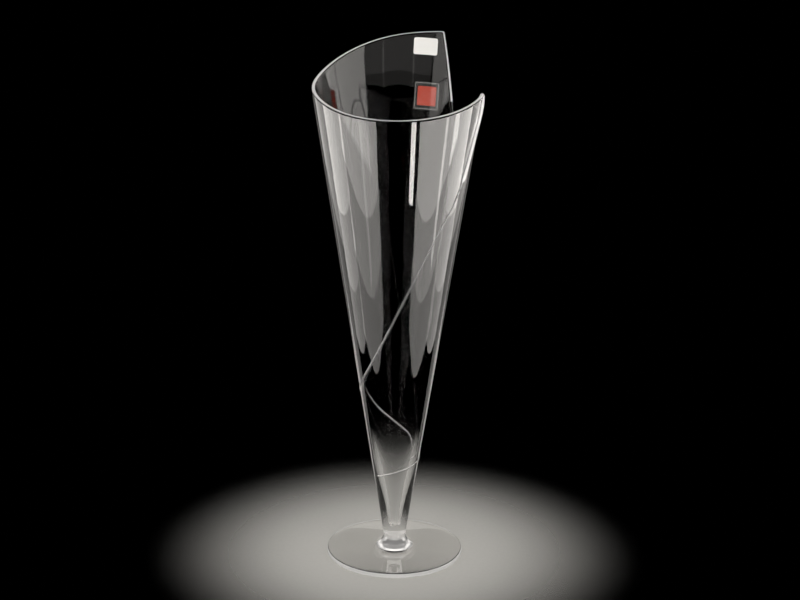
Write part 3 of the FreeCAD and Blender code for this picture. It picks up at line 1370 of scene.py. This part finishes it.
@dataclass
class Studio:
    """Pale floor, soft lights round the vase, dark surroundings and the camera."""

    paint: bpy.types.Material
    veils: tuple[Veil, ...] = (Veil(Side.LEFT, front=-0.69, height=-0.345, level=5.0),
                               Veil(Side.RIGHT, front=-0.62, height=-0.32, level=5.8))
    floor_radius: float = 220 * MM
    floor_columns: int = 128
    floor_drop: float = 0.01 * MM
    camera_place: Triple = (0.0029155, -1.6, 0.74093)
    pitch: float = 17.948
    roll: float = 0.5118
    focal_pixels: float = 2062.84
    frame_pixels: float = 800.0
    sensor: float = 36.0
    clip: Pair = (0.05, 20)
    soft_level: float = 0.32
    dark_level: float = 0.0
    warmth: Triple = (1.0, 0.965, 0.925)

    def floor(self) -> None:
        """Adds the pale floor, a hair below the foot."""
        select_none()
        bpy.ops.mesh.primitive_circle_add(vertices=self.floor_columns, radius=self.floor_radius,
                                          fill_type="NGON", location=(0, 0, -self.floor_drop))
        floor = bpy.context.object
        floor.name = "pale_floor"
        dress(floor, self.paint)

    def lights(self) -> None:
        """Hangs the studio's lights: walls and strips that show in the gloss, and fills for what is dull."""
        for veil in self.veils:
            for light in (*veil.lights(), *side_lights(veil.side)):
                light.hang(self.warmth)
        for light in single_lights():
            light.hang(self.warmth)

    def surroundings(self) -> None:
        """Soft grey light on dull surfaces; dark to the camera, in gloss and through glass."""
        world = bpy.data.worlds.new("dark_studio")
        bpy.context.scene.world = world
        world.use_nodes = True
        tree = world.node_tree
        tree.nodes.clear()
        path = add_node(tree, "ShaderNodeLightPath")
        seen = add_node(tree, "ShaderNodeMath", {"operation": "MAXIMUM"},
                        {0: (path, "Is Camera Ray"), 1: (path, "Is Glossy Ray")})
        seen = add_node(tree, "ShaderNodeMath", {"operation": "MAXIMUM"},
                        {0: (seen, 0), 1: (path, "Is Transmission Ray")})
        less_than_one_bounce = 0.5
        first = add_node(tree, "ShaderNodeMath", {"operation": "LESS_THAN", 1: less_than_one_bounce},
                         {0: (path, "Diffuse Depth")})
        seen = add_node(tree, "ShaderNodeMath", {"operation": "MULTIPLY"}, {0: (seen, 0), 1: (first, 0)})
        soft = add_node(tree, "ShaderNodeBackground", {"Color": (1, 1, 1, 1), "Strength": self.soft_level})
        dark = add_node(tree, "ShaderNodeBackground", {"Color": (1, 1, 1, 1), "Strength": self.dark_level})
        both = add_node(tree, "ShaderNodeMixShader", None, {0: (seen, 0), 1: (soft, 0), 2: (dark, 0)})
        add_node(tree, "ShaderNodeOutputWorld", links={"Surface": (both, 0)})

    def camera(self) -> None:
        """Sets the camera where the photograph was taken from."""
        lens = bpy.data.cameras.new("camera")
        lens.sensor_fit = "HORIZONTAL"
        lens.sensor_width = self.sensor
        lens.lens = self.focal_pixels * self.sensor / self.frame_pixels
        lens.clip_start, lens.clip_end = self.clip
        holder = bpy.data.objects.new("camera", lens)
        bpy.context.scene.collection.objects.link(holder)
        pitch, roll = math.radians(self.pitch), math.radians(self.roll)
        ahead = Vector((0, math.cos(pitch), -math.sin(pitch)))
        level_up = Vector((0, math.sin(pitch), math.cos(pitch)))
        right = Vector((1, 0, 0)) * math.cos(roll) + level_up * math.sin(roll)
        up = level_up * math.cos(roll) - Vector((1, 0, 0)) * math.sin(roll)
        turn = Matrix((right, up, -ahead)).transposed()
        holder.matrix_world = Matrix.Translation(self.camera_place) @ turn.to_4x4()
        bpy.context.scene.camera = holder

    def build(self) -> None:
        """Builds the whole studio."""
        self.floor()
        self.surroundings()
        self.lights()
        self.camera()


def labels(cone: Cone) -> list[tuple[Label, str, str]]:
    """Lists the labels.

    Args:
        cone: The wall that they are stuck to.

    Returns:
        The two labels and the print on one of them, each with its CAD node and material slot.
    """
    sticker = Label("sticker_paper", StickerPaper().material(), Wall.INSIDE, cone, angle=289.0,
                    middle=419.5 * MM, width=20.5 * MM, height=13.5 * MM, thickness=0.15 * MM,
                    corner=1.6 * MM, lift=0.05 * MM)
    film = Label("label_film", LabelFilm().material(), Wall.OUTSIDE, cone, angle=291.3,
                 middle=379 * MM, width=21.5 * MM, height=22 * MM, thickness=0.1 * MM,
                 corner=1.2 * MM, lift=0.02 * MM)
    # The ink lies a hair off the film, round the same middle.
    ink = replace(film, name="label_ink", coat=LabelPrint().material(), width=16.5 * MM, height=15.5 * MM,
                  thickness=0.04 * MM, corner=1 * MM, lift=0.14 * MM)
    return [(sticker, "price_sticker", "white_paper"), (film, "film_label", "clear_film"),
            (ink, "label_print", "red_ink")]


def place_on_frame(piece: bpy.types.Object, node: str) -> None:
    """Lets a piece ride on the vase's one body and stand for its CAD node.

    Args:
        piece: The finished piece.
        node: Its CAD node.
    """
    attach(piece, ROOT)
    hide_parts(node)
    log.info("%s stands for %s: %d faces", piece.name, node, len(piece.data.polygons))


def main() -> None:
    """Builds the studio and every piece of the vase."""
    logging.basicConfig(level=logging.INFO, format="%(name)s: %(message)s")
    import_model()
    bpy.context.scene.view_settings.view_transform = "Standard"
    Studio(PalePaint().material()).build()
    cone = Cone()
    rim = Rim(cone)
    glass, joint = BlownGlass().material(), FusedJoint().material()
    # Copies of the glass with a dull white share, a painted glow: strong on the rim, the foot's edge and the
    # broad trail, faint on the thin trail, and a white sparkle on the collar.
    edge = BlownGlass("painted_glow_edge", clear_share=0.35).material()
    trail = BlownGlass("trailed_glass_faint_painted_glow", clear_share=0.9).material()
    painted_glow_collar = BlownGlass("collar_glass", clear_share=0.7).material()
    stem = Stem(glass, joint, edge, painted_glow_collar, cone)
    place_on_frame(stem.foot(), "foot")
    place_on_frame(stem.collar(), "stem_collar")
    place_on_frame(Bowl(glass, joint, edge, cone, rim).build(), "bowl")
    place_on_frame(Thread(edge, trail, cone, rim).build(), "spiral_thread")
    for label, node, slot in labels(cone):
        place_on_frame(label.build(), node)


if __name__ == "__main__":
    main()
